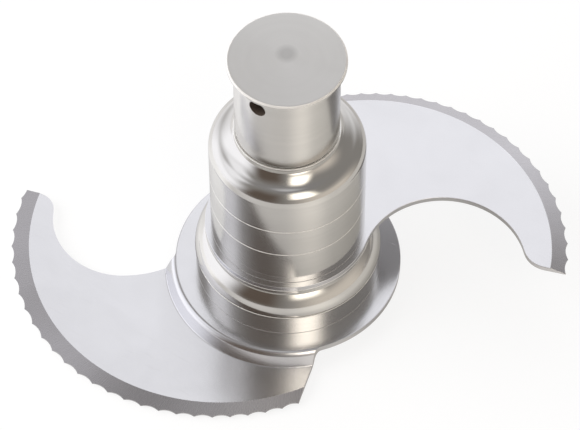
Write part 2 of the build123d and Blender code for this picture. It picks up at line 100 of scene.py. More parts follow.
# Places of the materials on a blade, a part-polished piece and the knob
GROUND_SLOT = 1
BURR_SLOT = 2
POLISH_SLOT = 1
CAP_SLOT = 1
HOLE_SLOT = 2


def node_size(node):
    """Lowest level, highest level and outer radius of a solid of revolution about the hub's axis."""
    low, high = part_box(node)
    return low.z, high.z, high.x


# Sizes and colours that a user would change


def length(name, description, default):
    """Float property that holds a length in metres."""
    return bpy.props.FloatProperty(
        name=name, description=description, default=default, min=0.0, precision=5,
        subtype="DISTANCE", unit="LENGTH",
    )


def place(name, description, default):
    """Vector property that holds a place in metres."""
    return bpy.props.FloatVectorProperty(
        name=name, description=description, default=default, size=3, subtype="TRANSLATION", unit="LENGTH"
    )


def angle(name, description, default):
    """Float property that holds an angle in radians."""
    return bpy.props.FloatProperty(
        name=name, description=description, default=default, subtype="ANGLE", unit="ROTATION"
    )


def colour(name, description, default):
    """Colour property without alpha."""
    return bpy.props.FloatVectorProperty(
        name=name, description=description, default=default, size=3, min=0.0, max=1.0, subtype="COLOR"
    )


def factor(name, description, default):
    """Float property between nought and one."""
    return bpy.props.FloatProperty(
        name=name, description=description, default=default, min=0.0, max=1.0, subtype="FACTOR"
    )


class CutterBladeSettings(bpy.types.PropertyGroup):
    """Steel and edges of both blades."""

    edge_break: length("Edge break", "Width of the broken edge round the sheet", 0.00016)
    bevel_lean: factor("Bevel lean", "Upward part of a normal from which a face counts as flat", 0.985)
    face_colour: colour("Face colour", "Colour of the flat sheet", (0.72, 0.72, 0.74))
    face_roughness: factor("Face roughness", "Roughness of the flat sheet", 0.2)
    bevel_colour: colour("Bevel colour", "Colour of the ground bevel", (0.56, 0.55, 0.57))
    bevel_roughness: factor("Bevel roughness", "Roughness of the ground bevel", 0.27)


class CutterStackSettings(bpy.types.PropertyGroup):
    """Turned pieces of the clamped stack."""

    tube_radius: length("Tube radius", "Radius of the tube that carries the stack", 0.031)
    fit: length("Fit", "Gap between the tube and a bore", 0.00005)
    edge_round: length("Edge round", "Round on the edges of a joint", 0.0003)
    colour: colour("Steel colour", "Colour of the turned steel", (0.66, 0.65, 0.63))
    roughness: factor("Roughness", "Roughness of the turned steel", 0.16)
    polished_roughness: factor("Polished roughness", "Roughness of the shoulder and crown", 0.11)
    core_roughness: factor("Core roughness", "Roughness of the hub and the stud", 0.3)
    hard_shade: factor("Hard shade", "How light the hardened pieces are", 0.75)
    hard_roughness: factor("Hard roughness", "Roughness of the sleeve, pins and keys", 0.32)


class CutterCollarSettings(bpy.types.PropertyGroup):
    """Profile of the wide collar between the blades."""

    wall: length("Wall", "Height of the plain wall", 0.0129)
    wall_inset: length("Wall inset", "How far the wall lies inside the crown's foot", 0.0002)
    wall_roughness: factor("Wall roughness", "Roughness of the plain wall", 0.12)
    groove_height: length("Groove height", "Height of the groove over the wall", 0.0013)
    groove_depth: length("Groove depth", "Depth of the groove", 0.0007)
    crown_round: length("Crown round", "Radius of the lower part of the crown", 0.013)
    crown_slope: length("Crown slope", "Radius of the upper part of the crown", 0.019)
    land_inset: length("Land inset", "How far the land lies inside the crown's foot", 0.0052)
    land_height: length("Land height", "Height of the land under the blade", 0.0019)


class CutterShoulderSettings(bpy.types.PropertyGroup):
    """Profile of the collar that closes the stack."""

    wall: length("Wall", "Height of the plain wall", 0.019)
    round: length("Shoulder round", "Radius of the lower part of the shoulder", 0.0066)
    slope: length("Shoulder slope", "Radius of the upper part of the shoulder", 0.011)
    cove_radius: length("Cove radius", "Radius of the cove under the neck", 0.014)
    neck_radius: length("Neck radius", "Outer radius of the neck", 0.0252)
    neck_bore: length("Neck bore", "Radius of the bore through the neck", 0.016)
    tube_rise: length("Tube rise", "How far the tube stands into the collar", 0.017)


class CutterKnobSettings(bpy.types.PropertyGroup):
    """Profile of the lock knob and its cross hole."""

    grip_radius: length("Grip radius", "Radius of the plain grip", 0.0245)
    grip_roughness: factor("Grip roughness", "Roughness of the plain grip", 0.2)
    foot_round: length("Foot round", "Round on the grip's lower edge", 0.00078)
    bore_radius: length("Bore radius", "Radius of the threaded bore", 0.01505)
    bore_depth: length("Bore depth", "Depth of the threaded bore", 0.032)
    cap_thickness: length("Cap thickness", "Thickness of the cap's rim", 0.0024)
    cap_fillet: length("Cap fillet", "Fillet from the grip to the cap", 0.0024)
    cap_round: length("Cap round", "Round on the cap's upper edge", 0.001)
    cap_dome: length("Cap dome", "Rise from the cap's rim to its middle", 0.0004)
    # The cap is the same steel, darkened as painted shade
    cap_painted_shade: factor("Cap shade", "How light the cap is", 0.9)
    cap_roughness: factor("Cap roughness", "Roughness of the cap", 0.38)
    seal_radius: length("Seal radius", "Middle radius of the seal's groove", 0.0206)
    seal_width: length("Seal width", "Width of the seal's groove", 0.003)
    seal_depth: length("Seal depth", "Depth of the seal's groove", 0.0018)
    hole_radius: length("Hole radius", "Radius of the cross hole", 0.0043)
    hole_drop: length("Hole drop", "Depth of the cross hole's axis under the top", 0.0105)
    hole_bearing: angle("Hole bearing", "Direction of the cross hole in the plan", math.radians(56.4))
    # The drilled wall's dark colour is painted shade of the deep hole
    hole_shade_colour: colour("Hole colour", "Colour of the drilled wall", (0.14, 0.11, 0.09))
    rim_chamfer: length("Rim chamfer", "Width of the broken edge at the hole's mouths", 0.0005)
    # The darker spot on the top is a painted dark reflection
    reflection_spot_radius: length("Mark radius", "Radius of the dull mark on the top", 0.0048)
    reflection_spot_offset: length("Mark offset", "How far the dull mark lies off the middle", 0.003)


class CutterStageSettings(bpy.types.PropertyGroup):
    """Floor, light and camera."""

    floor_colour: colour("Floor colour", "Colour of the floor", (0.9, 0.9, 0.9))
    floor_size: length("Floor size", "Side of the floor", 8.0)
    lamp_place: place("Lamp place", "Place of the window lamp", (-1.35, -0.1, 1.0))
    lamp_aim: place("Lamp aim", "Point that the window lamp faces", (0.0, 0.0, 0.05))
    lamp_width: length("Lamp width", "Width of the window lamp", 1.8)
    lamp_height: length("Lamp height", "Height of the window lamp", 1.4)
    lamp_power: bpy.props.FloatProperty(
        name="Lamp power", description="Power of the window lamp", default=16.0, min=0.0, unit="POWER"
    )
    focal_length: bpy.props.FloatProperty(
        name="Focal length", description="Focal length on a sensor 36 mm wide", default=196.975,
        unit="CAMERA",
    )
    camera_place: place("Camera place", "Place of the camera", (0.00107, -0.8887, 1.2875))
    camera_elevation: angle("Camera elevation", "How far the camera looks down", 0.9492008)
    camera_roll: angle("Camera roll", "Turn of the camera about its own axis", 0.0052555)


# Profiles and meshes


def rounded_loop(corners):
    """Points (radius, height, edge) of a closed profile from corners (radius, height, round)."""
    points = []
    count = len(corners)
    for index, (radius, height, bend) in enumerate(corners):
        here = Vector((radius, height))
        if not bend:
            points.append((radius, height, 0.0))
            continue
        before = (Vector(corners[index - 1][:2]) - here).normalized()
        after = (Vector(corners[(index + 1) % count][:2]) - here).normalized()
        half = before.angle(after) / 2
        reach = bend / math.tan(half)
        centre = here + (before + after).normalized() * (bend / math.sin(half))
        start = here + before * reach - centre
        turn = start.angle_signed(here + after * reach - centre)
        for step in range(ROUND_STEPS + 1):
            spoke = Matrix.Rotation(-turn * step / ROUND_STEPS, 2) @ start
            edge = 1.0 if 0 < step < ROUND_STEPS else 0.0
            points.append((centre.x + spoke.x, centre.y + spoke.y, edge))
    return points


def arc_from(start, radius, first, last, steps, hollow=False):
    """Corners of an arc from a point; the slopes of its normal are in degrees."""
    side = -radius if hollow else radius
    turn = math.radians(first)
    centre = (start[0] - side * math.cos(turn), start[1] - side * math.sin(turn))
    corners = []
    for step in range(steps + 1):
        turn = math.radians(first + (last - first) * step / steps)
        corners.append((centre[0] + side * math.cos(turn), centre[1] + side * math.sin(turn), 0.0))
    return corners


def turned_mesh(name, points):
    """Mesh of revolution about the hub's axis, with the broken edges marked for their wear and painted
    highlight.
    """
    mesh = bpy.data.meshes.new(name)
    shape = bmesh.new()
    edge_layer = shape.verts.layers.float.new("edge")
    rings = []
    for radius, height, edge in points:
        ring = []
        for step in range(AXIS_STEPS if radius > 0 else 1):
            turn = 2 * math.pi * step / AXIS_STEPS
            vert = shape.verts.new((radius * math.cos(turn), radius * math.sin(turn), height))
            vert[edge_layer] = edge
            ring.append(vert)
        rings.append(ring)
    for lower, upper in zip(rings, rings[1:] + rings[:1]):
        if len(lower) == 1 and len(upper) == 1:
            continue
        for step in range(AXIS_STEPS):
            after = (step + 1) % AXIS_STEPS
            corners = [lower[step % len(lower)], lower[after % len(lower)]]
            corners += [upper[after % len(upper)], upper[step % len(upper)]]
            shape.faces.new(list(dict.fromkeys(corners)))
    bmesh.ops.recalc_face_normals(shape, faces=shape.faces)
    write_back(shape, mesh)
    return mesh


def new_object(name, data):
    """Object in the scene for a mesh, a lamp or a camera."""
    made = bpy.data.objects.new(name, data)
    bpy.context.scene.collection.objects.link(made)
    return made


def smooth_but_edges(mesh):
    """Smooth shading with crisp edges where faces meet at an angle."""
    mesh.shade_smooth()
    mesh.set_sharp_from_angle(angle=SHARP_ANGLE)


def write_back(shape, mesh):
    """Put an edited shape into a mesh."""
    shape.to_mesh(mesh)
    shape.free()


def shape_of(mesh):
    """Editable shape of a mesh."""
    shape = bmesh.new()
    shape.from_mesh(mesh)
    return shape


def baked_mesh(piece):
    """Mesh of a piece with its modifiers worked in."""
    bpy.context.view_layer.update()
    return bpy.data.meshes.new_from_object(piece.evaluated_get(bpy.context.evaluated_depsgraph_get()))


def add_piece(name, mesh, nodes, materials):
    """Object for a mesh, which stands for solids of the frame and rides with them."""
    mesh.name = name
    piece = new_object(name, mesh)
    mesh.materials.clear()
    for material in materials:
        mesh.materials.append(material)
    smooth_but_edges(mesh)
    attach(piece, BODY)
    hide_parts(*nodes)
    return piece


def turn_piece(name, corners, node, materials):
    """Turned piece in the place of a solid."""
    return add_piece(name, turned_mesh(name, rounded_loop(corners)), [node], materials)


def polish_above(piece, level):
    """Give a piece its second material above a level."""
    for face in piece.data.polygons:
        if face.center.z > level:
            face.material_index = POLISH_SLOT


def weight_normals(piece):
    """Keep the large faces flat beside the small rounds."""
    weighted = piece.modifiers.new("Face weights", "WEIGHTED_NORMAL")
    weighted.keep_sharp = True
    weighted.weight = FACE_WEIGHT


# Shader nodes

# Where a mask lies, and most of a noise
WHOLE = (0.0, 1.0)
NOISE_REACH = (0.3, 0.7)


def feed(tree, node, inputs):
    """Give a node's inputs their plain values, or links from sockets."""
    for key, value in inputs.items():
        if isinstance(value, bpy.types.NodeSocket):
            tree.links.new(value, node.inputs[key])
        else:
            node.inputs[key].default_value = value


def add_node(tree, kind, settings=None, inputs=None):
    """Node with its settings and its inputs."""
    node = tree.nodes.new(kind)
    for key, value in (settings or {}).items():
        setattr(node, key, value)
    feed(tree, node, inputs or {})
    return node


def socket(tree, kind, settings=None, inputs=None):
    """First output of a new node."""
    return add_node(tree, kind, settings, inputs).outputs[0]


def calc(tree, operation, *terms):
    """Socket with the result of a calculation on values."""
    return socket(tree, "ShaderNodeMath", {"operation": operation}, dict(enumerate(terms)))


def vector_calc(tree, operation, inputs, result="Vector"):
    """Socket with the result of a calculation on vectors."""
    return add_node(tree, "ShaderNodeVectorMath", {"operation": operation}, inputs).outputs[result]


def total(tree, first, *others):
    """Socket with the sum of several values."""
    for other in others:
        first = calc(tree, "ADD", first, other)
    return first


def noise(tree, position, values):
    """Socket with a noise at a position."""
    return socket(tree, "ShaderNodeTexNoise", None, {"Vector": position, **values})


def span(tree, source, low, high, reach=NOISE_REACH):
    """Socket with a value mapped from its reach to a range."""
    inputs = {"Value": source, "From Min": reach[0], "From Max": reach[1], "To Min": low, "To Max": high}
    return socket(tree, "ShaderNodeMapRange", None, inputs)


def spread(tree, source, value, share):
    """Socket with a value that a noise shifts by up to a share to either side."""
    return span(tree, source, value * (1 - share), value * (1 + share))


def opaque(tone):
    """Colour with its alpha, or a socket as it is."""
    return tone if isinstance(tone, bpy.types.NodeSocket) else (*tone, 1.0)


def tint(tree, mask, plain, marked):
    """Socket with a colour that goes from plain to marked with a mask."""
    inputs = {0: mask, 6: opaque(plain), 7: opaque(marked)}
    return add_node(tree, "ShaderNodeMix", {"data_type": "RGBA"}, inputs).outputs[2]


def relief(tree, height, depth):
    """Socket with the normal of a fine relief, given its strength and depth."""
    inputs = {"Height": height, "Strength": depth[0], "Distance": depth[1]}
    return socket(tree, "ShaderNodeBump", None, inputs)


def object_position(tree):
    """Socket with the position on the object."""
    return add_node(tree, "ShaderNodeTexCoord").outputs["Object"]


def turned_round(tree, position, turn):
    """Socket with a position turned about the upright axis."""
    inputs = {"Vector": position, "Angle": turn}
    return socket(tree, "ShaderNodeVectorRotate", {"rotation_type": "Z_AXIS"}, inputs)


def bearing_of(tree, direction):
    """Socket with the angle of a direction round the upright axis, counted from the front."""
    split = add_node(tree, "ShaderNodeSeparateXYZ", None, {0: direction})
    front = calc(tree, "MULTIPLY", split.outputs["Y"], -1.0)
    return calc(tree, "ARCTAN2", split.outputs["X"], front)


def axis_position(tree):
    """Sockets for the distance from the hub's axis, the height and the direction round it."""
    split = add_node(tree, "ShaderNodeSeparateXYZ", None, {0: object_position(tree)})
    flat = socket(tree, "ShaderNodeCombineXYZ", None, {"X": split.outputs["X"], "Y": split.outputs["Y"]})
    radius = vector_calc(tree, "LENGTH", {0: flat}, "Value")
    around = vector_calc(tree, "NORMALIZE", {0: flat})
    return radius, split.outputs["Z"], around


def empty_tree(owner):
    """Cleared node tree of a material or a world."""
    owner.use_nodes = True
    owner.node_tree.nodes.clear()
    return owner.node_tree


# Shared effects

# Reaches of the noises, then the shape of the bands, the edge wear with its painted highlight, and the
# scratches
SMUDGE_REACH = (0.35, 0.7)
DULL_REACH = (0.35, 0.75)
SHEET_DULL_REACH = (0.4, 0.8)
WEAR_HIGHLIGHT_REACH = (0.3, 0.6)
SCRATCH_REACH = (0.66, 0.76)
BAND_SCALE = 0.12
WEAR_HIGHLIGHT_LEAST = 0.75
SCRATCH_TURN = math.radians(33)
SCRATCH_STRETCH = (60.0, 2600.0, 2600.0)


def new_group(name, inputs, outputs):
    """Shader node group with float sockets, and the sockets that its inputs come in by."""
    group = bpy.data.node_groups.new(name, "ShaderNodeTree")
    for label, default in inputs.items():
        socket = group.interface.new_socket(name=label, in_out="INPUT", socket_type="NodeSocketFloat")
        socket.default_value = default
    for label in outputs:
        group.interface.new_socket(name=label, in_out="OUTPUT", socket_type="NodeSocketFloat")
    return group, add_node(group, "NodeGroupInput").outputs


def turning_group():
    """Fine rings left by the lathe tool, broken a little round the axis."""
    group, given = new_group("Turning rings", {"Pitch": 2600.0, "Break-up": 1.2}, ("Rings", "Bands"))
    radius, height, around = axis_position(group)
    reach = socket(group, "ShaderNodeCombineXYZ", None, {"X": radius, "Y": height})
    scaled = vector_calc(group, "SCALE", {0: reach, "Scale": given["Pitch"]})
    drift = vector_calc(group, "SCALE", {0: around, "Scale": given["Break-up"]})
    fine = vector_calc(group, "ADD", {0: scaled, 1: drift})
    coarse = vector_calc(group, "SCALE", {0: fine, "Scale": BAND_SCALE})
    rings = noise(group, fine, {"Scale": 1.0, "Detail": 2.0, "Roughness": 0.7})
    bands = noise(group, coarse, {"Scale": 1.0, "Detail": 2.0, "Roughness": 0.5})
    add_node(group, "NodeGroupOutput", None, {"Rings": rings, "Bands": bands})
    return group


def edge_wear_and_highlight_group():
    """Bright line along the broken edges, part wear and part painted highlight, uneven as hands and a
    cloth leave it.
    """
    group, given = new_group("Edge wear and painted highlight", {"Amount": 1.0}, ("Wear and painted highlight",))
    edge = add_node(group, "ShaderNodeAttribute", {"attribute_name": "edge"}).outputs["Fac"]
    patches = noise(group, object_position(group), {"Scale": 160.0, "Detail": 3.0})
    uneven = calc(group, "MULTIPLY", edge, span(group, patches, WEAR_HIGHLIGHT_LEAST, 1.0, WEAR_HIGHLIGHT_REACH))
    wear_highlight = calc(group, "MULTIPLY", uneven, given["Amount"])
    add_node(group, "NodeGroupOutput", None, {"Wear and painted highlight": wear_highlight})
    return group


def smudge_group():
    """Faint wiping marks, grain and hairline scratches of steel that is washed often."""
    group, given = new_group("Wiping marks", {"Grain scale": 2400.0}, ("Smudge", "Grain", "Scratches"))
    position = object_position(group)
    smudge = noise(group, position, {"Scale": 38.0, "Detail": 4.0, "Roughness": 0.55, "Distortion": 0.6})
    grain = noise(group, position, {"Scale": given["Grain scale"], "Detail": 2.0, "Roughness": 0.8})
    along = turned_round(group, position, SCRATCH_TURN)
    stretched = vector_calc(group, "MULTIPLY", {0: along, 1: SCRATCH_STRETCH})
    hairs = noise(group, stretched, {"Scale": 1.0, "Detail": 1.0})
    thin = span(group, hairs, 0.0, 1.0, SCRATCH_REACH)
    add_node(group, "NodeGroupOutput", None, {"Smudge": smudge, "Grain": grain, "Scratches": thin})
    return group


GROUP_MAKERS = {"Turning rings": turning_group, "Edge wear and painted highlight": edge_wear_and_highlight_group, "Wiping marks": smudge_group}


def use_group(tree, name, values=None):
    """Sockets of a shared node group in a material, which is built the first time."""
    node = tree.nodes.new("ShaderNodeGroup")
    node.node_tree = bpy.data.node_groups.get(name) or GROUP_MAKERS[name]()
    feed(tree, node, values or {})
    return node.outputs


# Materials

# Shares of the base colour that the marks lead from and to, with the edges' wear and painted highlight
# and the cap's painted dark reflection
TURNED_TONES = (1.03, 0.94)
SHEET_TONES = (1.01, 0.98)
GROUND_TONES = (1.08, 0.92)
BURR_TONES = (1.25, 1.0)
RUBBER_TONES = ((0.02, 0.02, 0.021), (0.045, 0.044, 0.043))
# Lighter edge line: part wear, part painted highlight
WEAR_HIGHLIGHT_TONE = 1.45
# Share of the colour kept in the cap's painted dark reflection
REFLECTION_SPOT_TONE = 0.8

# Shares that the roughness varies by, and what marks add to it
TURNED_SPREAD = 0.07
SHEET_SPREAD = 0.1
GROUND_SPREAD = 0.08
BURR_ROUGHNESS = (0.28, 0.4)
RUBBER_ROUGHNESS = (0.55, 0.75)
WEAR_HIGHLIGHT_DULL = 0.3
SMUDGE_DULL = 0.015
SHEET_DULL = 0.02
SCRATCH_DULL = 0.06

# Weights of the masks, and how much like metal an edge with its wear and painted highlight, and the hole
# with its painted shade, look
SMUDGE_SHADE = 0.2
GRIND_SHADE = 0.6
STAIN_SHADE = 0.4
SCRATCH_DEPTH = -0.8
WEAR_HIGHLIGHT_METAL = 0.3
HOLE_METAL = 0.3

# Strength and depth of the reliefs
STEEL_RELIEF = (0.12, 0.00002)
GROUND_RELIEF = (0.15, 0.00003)
RUBBER_RELIEF = (0.3, 0.00005)

# Grinding lines round the axis, their shift along the bevel, and the soft edge of the painted dark
# reflection on the cap
GRIND_LINES = 420.0
GRIND_DRIFT = 90.0
REFLECTION_SPOT_EDGES = (0.5, 1.2)


def new_material(name, values):
    """Material with an empty tree but for its shader and output."""
    material = bpy.data.materials.new(name)
    tree = empty_tree(material)
    shader = add_node(tree, "ShaderNodeBsdfPrincipled", None, values)
    add_node(tree, "ShaderNodeOutputMaterial", None, {"Surface": shader.outputs[0]})
    return material, tree, shader


def scaled_colour(plain, share):
    """Colour times a share, kept under one."""
    return tuple(min(1.0, channel * share) for channel in plain)


def two_tone(tree, mask, base, tones):
    """Socket with a colour that a mask takes from one share of the base to another."""
    return tint(tree, mask, scaled_colour(base, tones[0]), scaled_colour(base, tones[1]))


def turned_steel(name, base, roughness, pitch=2600.0, drawn=0.6, bands=0.5, grit=0.0):
    """Steel off the lathe: fine rings, soft bands, edges lightened by wear and a painted highlight, and a
    highlight drawn along the axis.
    """
    material, tree, shader = new_material(name, {"Anisotropic": drawn})
    turning = use_group(tree, "Turning rings", {"Pitch": pitch})
    wear_highlight = use_group(tree, "Edge wear and painted highlight")["Wear and painted highlight"]
    marks = use_group(tree, "Wiping marks")
    smudge = span(tree, marks["Smudge"], 0.0, SMUDGE_SHADE, SMUDGE_REACH)
    shade = total(tree, span(tree, turning["Bands"], 0.0, bands), smudge)
    steel = two_tone(tree, shade, base, TURNED_TONES)
    rough = total(
        tree, spread(tree, turning["Rings"], roughness, TURNED_SPREAD),
        span(tree, wear_highlight, 0.0, WEAR_HIGHLIGHT_DULL, WHOLE),
        span(tree, marks["Smudge"], 0.0, SMUDGE_DULL, DULL_REACH),
    )
    height = total(tree, turning["Rings"], span(tree, marks["Grain"], 0.0, grit, WHOLE))
    # The light line along the edges is part wear and part painted highlight
    feed(tree, shader, {
        "Base Color": tint(tree, wear_highlight, steel, scaled_colour(base, WEAR_HIGHLIGHT_TONE)),
        "Metallic": span(tree, wear_highlight, 1.0, WEAR_HIGHLIGHT_METAL, WHOLE),
        "Roughness": rough,
        "Normal": relief(tree, height, STEEL_RELIEF),
        "Tangent": socket(tree, "ShaderNodeTangent", {"direction_type": "RADIAL", "axis": "Z"}),
    })
    return material


def sheet_steel(name, base, roughness):
    """Cold-rolled sheet with a fine grain, wiping marks and a few hairline scratches."""
    material, tree, shader = new_material(name, {"Metallic": 1.0})
    marks = use_group(tree, "Wiping marks", {"Grain scale": 1800.0})
    shade = span(tree, marks["Smudge"], 0.0, 1.0)
    rough = total(
        tree, spread(tree, marks["Grain"], roughness, SHEET_SPREAD),
        span(tree, marks["Smudge"], 0.0, SHEET_DULL, SHEET_DULL_REACH),
        span(tree, marks["Scratches"], 0.0, SCRATCH_DULL, WHOLE),
    )
    height = total(tree, marks["Grain"], span(tree, marks["Scratches"], 0.0, SCRATCH_DEPTH, WHOLE))
    feed(tree, shader, {
        "Base Color": two_tone(tree, shade, base, SHEET_TONES),
        "Roughness": rough,
        "Normal": relief(tree, height, STEEL_RELIEF),
    })
    return material


def ground_steel(name, base, roughness):
    """Ground bevel: short grinding lines that run from the edge up the bevel."""
    material, tree, shader = new_material(name, {"Metallic": 1.0})
    radius, _, around = axis_position(tree)
    lines = vector_calc(tree, "SCALE", {0: around, "Scale": GRIND_LINES})
    shift = span(tree, radius, 0.0, GRIND_DRIFT, WHOLE)
    drift = socket(tree, "ShaderNodeCombineXYZ", None, {"X": shift})
    position = vector_calc(tree, "ADD", {0: lines, 1: drift})
    grind = noise(tree, position, {"Scale": 1.0, "Detail": 3.0, "Roughness": 0.7})
    smudge = span(tree, use_group(tree, "Wiping marks")["Smudge"], 0.0, STAIN_SHADE)
    shade = total(tree, span(tree, grind, 0.0, GRIND_SHADE), smudge)
    feed(tree, shader, {
        "Base Color": two_tone(tree, shade, base, GROUND_TONES),
        "Roughness": spread(tree, grind, roughness, GROUND_SPREAD),
        "Normal": relief(tree, grind, GROUND_RELIEF),
    })
    return material


def burr_steel(name, base, metal=1.0):
    """Thin polished line where two faces of the sheet meet, and the wall of a drilled hole."""
    material, tree, shader = new_material(name, {"Metallic": metal})
    marks = use_group(tree, "Wiping marks")
    shade = span(tree, marks["Smudge"], 0.0, 1.0)
    feed(tree, shader, {
        "Base Color": two_tone(tree, shade, base, BURR_TONES),
        "Roughness": span(tree, marks["Grain"], *BURR_ROUGHNESS),
    })
    return material


def seal_rubber(name):
    """Black rubber with a matt, faintly dusty face."""
    material, tree, shader = new_material(name, {"Specular IOR Level": 0.4})
    marks = use_group(tree, "Wiping marks", {"Grain scale": 1200.0})
    shade = span(tree, marks["Smudge"], 0.0, 1.0, SMUDGE_REACH)
    feed(tree, shader, {
        "Base Color": tint(tree, shade, *RUBBER_TONES),
        "Roughness": span(tree, marks["Grain"], *RUBBER_ROUGHNESS),
        "Normal": relief(tree, marks["Grain"], RUBBER_RELIEF),
    })
    return material


def cap_steel(name, base, roughness, spot_place, reflection_spot_radius):
    """Satin face of the knob's cap: turned rings and a small painted dark reflection in the middle."""
    material = turned_steel(name, base, roughness, pitch=1800.0, drawn=0.4, bands=0.2)
    tree = material.node_tree
    shader = tree.nodes["Principled BSDF"]
    away = vector_calc(tree, "DISTANCE", {0: object_position(tree), 1: spot_place}, "Value")
    # Painted dark reflection: a soft darker spot on the cap
    dark_spot = span(tree, away, 1.0, 0.0, [reflection_spot_radius * share for share in REFLECTION_SPOT_EDGES])
    steel = shader.inputs["Base Color"].links[0].from_socket
    feed(tree, shader, {"Base Color": tint(tree, dark_spot, steel, scaled_colour(base, REFLECTION_SPOT_TONE))})
    return material


def polished_steel(name, stack, grit):
    """Polished steel of the crown and the shoulder, with the same highlight all round."""
    return turned_steel(name, stack.colour, stack.polished_roughness, drawn=0.0, bands=0.3, grit=grit)


# Pieces


def blade_mesh(node):
    """Copy of a blade's solid with joined facets and clean flat faces."""
    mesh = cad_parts[node].data.copy()
    shape = shape_of(mesh)
    bmesh.ops.remove_doubles(shape, verts=shape.verts, dist=JOIN_REACH)
    flat = []
    for edge in shape.edges:
        if all(abs(face.normal.z) > FLAT_TILT for face in edge.link_faces):
            flat.append(edge)
    bmesh.ops.dissolve_limit(shape, angle_limit=JOIN_ANGLE, verts=[], edges=flat)
    write_back(shape, mesh)
    return mesh


def pressed_normal(position, inner_bend, outer_bend):
    """Upward normal of the pressed step at a position, from the lengths of its two bends."""
    radius = position.xy.length
    lean = min((radius - STEP_START) / inner_bend, (STEP_END - radius) / outer_bend, STEP_LEAN)
    lean = max(lean, 0.0)
    outward = position.xy.normalized() * lean
    return Vector((outward.x, outward.y, math.sqrt(1 - lean * lean)))


def press_step(piece):
    """Shade the pressed step of the dished blade as the smooth double bend that it is."""
    mesh = baked_mesh(piece)
    normals = [corner.vector.copy() for corner in mesh.corner_normals]
    for face in mesh.polygons:
        if face.material_index == BURR_SLOT or abs(face.normal.z) < STEP_TILT:
            continue
        for corner in face.loop_indices:
            position = mesh.vertices[mesh.loops[corner].vertex_index].co
            if not STEP_START < position.xy.length < STEP_END:
                continue
            if face.normal.z > 0:
                normals[corner] = pressed_normal(position, OUTER_BEND, INNER_BEND)
            else:
                normals[corner] = -pressed_normal(position, INNER_BEND, OUTER_BEND)
    mesh.normals_split_custom_set(normals)
    piece.modifiers.clear()
    piece.data = mesh
    mesh.name = piece.name


def mark_sheet_edges(mesh):
    """Crease the sheet's corners and the crest of its bevel, and leave its pressed bends smooth."""
    shape = shape_of(mesh)
    weight = shape.edges.layers.float.new("bevel_weight_edge")
    for edge in shape.edges:
        faces = edge.link_faces
        side_wall = min(abs(face.normal.z) for face in faces) < SIDE_WALL_TILT
        corner = side_wall and faces[0].normal.angle(faces[1].normal, 0.0) > CORNER_ANGLE
        crest = len(faces) == 2 and faces[0].material_index != faces[1].material_index
        edge.smooth = not (corner or crest)
        edge[weight] = 1.0 if corner or crest else 0.0
    write_back(shape, mesh)


def dress_blade(name, node, settings):
    """Blade with a sheet face, a ground bevel and a thin broken edge."""
    materials = [
        sheet_steel(f"{name}_sheet", settings.face_colour, settings.face_roughness),
        ground_steel(f"{name}_ground", settings.bevel_colour, settings.bevel_roughness),
        burr_steel(f"{name}_burr", settings.face_colour),
    ]
    piece = add_piece(name, blade_mesh(node), [node], materials)
    for face in piece.data.polygons:
        leans = GROUND_TILT < face.normal.z < settings.bevel_lean
        on_arm = face.center.xy.length > ARM_START
        face.material_index = GROUND_SLOT if leans and on_arm else 0
    mark_sheet_edges(piece.data)
    bevel = piece.modifiers.new("Broken edges", "BEVEL")
    bevel.width = settings.edge_break
    bevel.segments = BREAK_STEPS
    bevel.limit_method = "WEIGHT"
    bevel.material = BURR_SLOT
    bevel.use_clamp_overlap = True
    weight_normals(piece)
    return piece


class CUTTER_OT_lower_blade(bpy.types.Operator):
    """Dress the dished lower blade"""

    bl_idname = "cutter.lower_blade"
    bl_label = "Lower Blade"

    def execute(self, context):
        press_step(dress_blade("blade_low", "lower_blade", context.scene.cutter_blades))
        return {"FINISHED"}


class CUTTER_OT_upper_blade(bpy.types.Operator):
    """Dress the flat upper blade"""

    bl_idname = "cutter.upper_blade"
    bl_label = "Upper Blade"

    def execute(self, context):
        dress_blade("blade_high", "upper_blade", context.scene.cutter_blades)
        return {"FINISHED"}


class CUTTER_OT_lower_collar(bpy.types.Operator):
    """Turn the wide collar between the blades"""

    bl_idname = "cutter.lower_collar"
    bl_label = "Lower Collar"

    def execute(self, context):
        stack = context.scene.cutter_stack
        collar = context.scene.cutter_collar
        node = "lower_collar"
        low, high, foot_radius = node_size(node)
        wall_radius = foot_radius - collar.wall_inset
        groove_radius = wall_radius - collar.groove_depth
        bore = stack.tube_radius + stack.fit
        wall_top = low + collar.wall
        crown_low = wall_top + collar.groove_height
        land_radius = foot_radius - collar.land_inset
        land_low = high - collar.land_height
        foot, change, end = CROWN_SLOPES
        rounds, slopes = CROWN_STEPS
        round_part = arc_from((foot_radius, crown_low), collar.crown_round, foot, change, rounds)
        slope_part = arc_from(round_part[-1], collar.crown_slope, change, end, slopes)
        small = stack.edge_round
        corners = [
            (bore, low, 0.0),
            (wall_radius, low, small),
            (wall_radius, wall_top, small),
            (groove_radius, wall_top, 0.0),
            (groove_radius, crown_low, 0.0),
            *round_part[:-1],
            *slope_part,
            (slope_part[-1][0], land_low, 0.0),
            (land_radius, land_low, 0.0),
            (land_radius, high, small),
            (bore, high, 0.0),
        ]
        wall = turned_steel("collar_wall_steel", stack.colour, collar.wall_roughness, drawn=0.3)
        polish = polished_steel("crown_polish", stack, 3.0)
        piece = turn_piece("collar", corners, node, [wall, polish])
        polish_above(piece, crown_low)
        weight_normals(piece)
        return {"FINISHED"}


